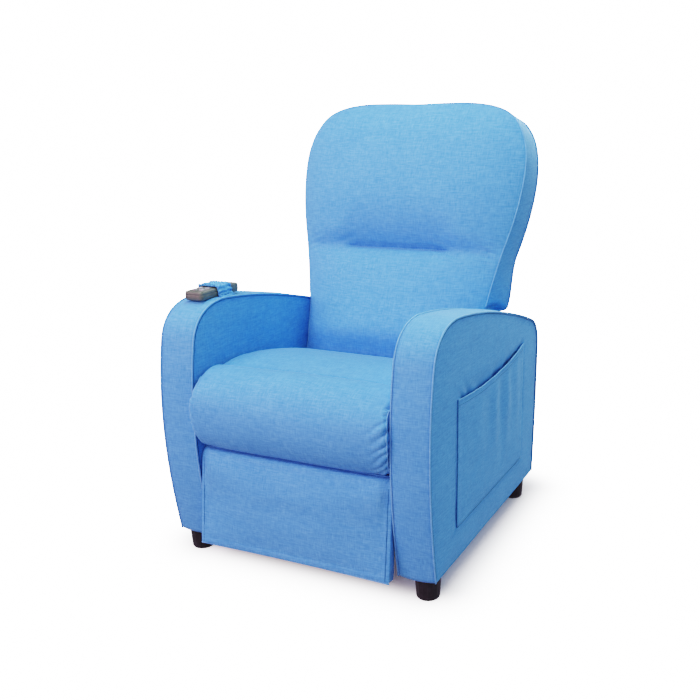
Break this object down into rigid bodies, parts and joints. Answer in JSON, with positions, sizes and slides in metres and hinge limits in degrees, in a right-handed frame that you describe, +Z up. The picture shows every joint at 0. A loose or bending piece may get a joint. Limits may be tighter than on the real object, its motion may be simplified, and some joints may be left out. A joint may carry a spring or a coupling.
{
  "type": "patient recliner chair",
  "caption": "Powered patient recliner: fabric armchair with padded arms, reclining back, link-driven footrest, side pocket and a handset held in an arm band.",
  "frame": {"origin": "on the floor, under the centre of the chair", "axes": "+Z up, -Y the way the seat faces, +X towards the arm with the side pocket"},
  "size_m": [0.69, 0.8484, 1.0697],
  "materials": {
    "blue_fabric": "matte woven",
    "timber": "raw plywood",
    "painted_steel": "satin black",
    "zinc_steel": "zinc plated",
    "spring_wire": "drawn wire",
    "black_plastic": "moulded, fine texture",
    "handset_plastic": "moulded, satin",
    "key_plastic": "soft touch"
  },
  "bodies": {
    "base": {"arm_upholstery_left": "blue_fabric", "arm_frame_left": "timber", "arm_upholstery_right": "blue_fabric", "arm_frame_right": "timber", "side_pocket_panel": "blue_fabric", "foot_front_left": "black_plastic", "foot_rear_left": "black_plastic", "foot_front_right": "black_plastic", "foot_rear_right": "black_plastic", "side_plate_left": "painted_steel", "side_plate_right": "painted_steel", "cross_tube_front": "painted_steel", "cross_tube_rear": "painted_steel", "rear_stretcher": "timber", "rear_panel": "blue_fabric", "power_inlet": "black_plastic", "control_box": "black_plastic", "seat_side_rail_left": "timber", "seat_side_rail_right": "timber", "seat_front_rail": "timber", "seat_rear_rail": "timber", "seat_spring_mat": "spring_wire", "seat_cushion": "blue_fabric", "seat_front_roll": "blue_fabric", "foot_actuator_body": "black_plastic", "foot_motor": "painted_steel", "back_actuator_body": "black_plastic", "back_motor": "painted_steel", "handset_band": "blue_fabric"},
    "backrest": {"back_cover": "blue_fabric", "back_cushion": "blue_fabric", "back_upright_left": "timber", "back_upright_right": "timber", "back_lower_rail": "timber", "back_lumbar_rail": "timber", "back_top_rail": "timber", "back_bracket_left": "painted_steel", "back_bracket_right": "painted_steel", "back_pivot_tube": "painted_steel"},
    "footrest_drive": {"footrest_drive_tube": "painted_steel", "drive_link_left": "zinc_steel", "drive_link_right": "zinc_steel"},
    "upper_links": {"upper_link_left": "zinc_steel", "upper_link_right": "zinc_steel"},
    "lower_links": {"lower_link_left": "zinc_steel", "lower_link_right": "zinc_steel"},
    "control_levers": {"control_lever_left": "zinc_steel", "control_lever_right": "zinc_steel"},
    "footrest": {"footrest_bracket_left": "painted_steel", "footrest_bracket_right": "painted_steel", "footrest_pad": "blue_fabric", "footrest_board": "timber"},
    "foot_actuator_slide": {"foot_actuator_rod": "zinc_steel"},
    "back_actuator_slide": {"back_actuator_rod": "zinc_steel"},
    "handset": {"handset_case": "handset_plastic"},
    "button_back_up": {"button_back_up": "key_plastic"},
    "button_back_down": {"button_back_down": "key_plastic"},
    "button_foot_up": {"button_foot_up": "key_plastic"},
    "button_foot_down": {"button_foot_down": "key_plastic"}
  },
  "joints": [
    {"name": "backrest_recline", "type": "hinge", "parent": "base", "child": "backrest", "pos_m": [0, 0.17, 0.335], "axis": [-1, 0, 0], "range_deg": [0, 38]},
    {"name": "footrest_lift", "type": "hinge", "parent": "base", "child": "footrest_drive", "pos_m": [0, -0.29, 0.272], "axis": [-1, 0, 0], "range_deg": [0, 80]},
    {"name": "upper_link_pivot", "type": "hinge", "parent": "footrest_drive", "child": "upper_links", "pos_m": [0, -0.252, 0.0804], "axis": [-1, 0, 0], "range_deg": [-80, 0]},
    {"name": "lower_link_pivot", "type": "hinge", "parent": "footrest_drive", "child": "lower_links", "pos_m": [0, -0.2437, 0.1277], "axis": [-1, 0, 0], "range_deg": [-80, 0]},
    {"name": "control_lever_pivot", "type": "hinge", "parent": "base", "child": "control_levers", "pos_m": [0, -0.262, 0.2566], "axis": [-1, 0, 0], "range_deg": [0, 80]},
    {"name": "footrest_tilt", "type": "hinge", "parent": "upper_links", "child": "footrest", "pos_m": [0, -0.335, 0.228], "axis": [-1, 0, 0], "range_deg": [0, 80]},
    {"name": "foot_actuator_stroke", "type": "slide", "parent": "base", "child": "foot_actuator_slide", "axis": [0, -1, 0], "range_m": [0, 0.09001]},
    {"name": "back_actuator_stroke", "type": "slide", "parent": "base", "child": "back_actuator_slide", "axis": [0, -1, 0], "range_m": [0, 0.07816]},
    {"name": "handset_pull_out", "type": "slide", "parent": "base", "child": "handset", "axis": [0, -1, 0], "range_m": [0, 0.17]},
    {"name": "button_back_up_press", "type": "slide", "parent": "handset", "child": "button_back_up", "axis": [0, 0, -1], "range_m": [0, 0.001], "stiffness_N_per_m": 300, "springref_m": -0.001},
    {"name": "button_back_down_press", "type": "slide", "parent": "handset", "child": "button_back_down", "axis": [0, 0, -1], "range_m": [0, 0.001], "stiffness_N_per_m": 300, "springref_m": -0.001},
    {"name": "button_foot_up_press", "type": "slide", "parent": "handset", "child": "button_foot_up", "axis": [0, 0, -1], "range_m": [0, 0.001], "stiffness_N_per_m": 300, "springref_m": -0.001},
    {"name": "button_foot_down_press", "type": "slide", "parent": "handset", "child": "button_foot_down", "axis": [0, 0, -1], "range_m": [0, 0.001], "stiffness_N_per_m": 300, "springref_m": -0.001}
  ],
  "couplings": [
    {"joint": "upper_link_pivot", "follows": "footrest_lift", "ratio": -1},
    {"joint": "lower_link_pivot", "follows": "footrest_lift", "ratio": -1},
    {"joint": "control_lever_pivot", "follows": "footrest_lift", "ratio": 1},
    {"joint": "footrest_tilt", "follows": "footrest_lift", "ratio": 1},
    {"joint": "foot_actuator_stroke", "follows": "footrest_lift", "m_per_rad": 0.064451},
    {"joint": "back_actuator_stroke", "follows": "backrest_recline", "m_per_rad": 0.11781}
  ]
}
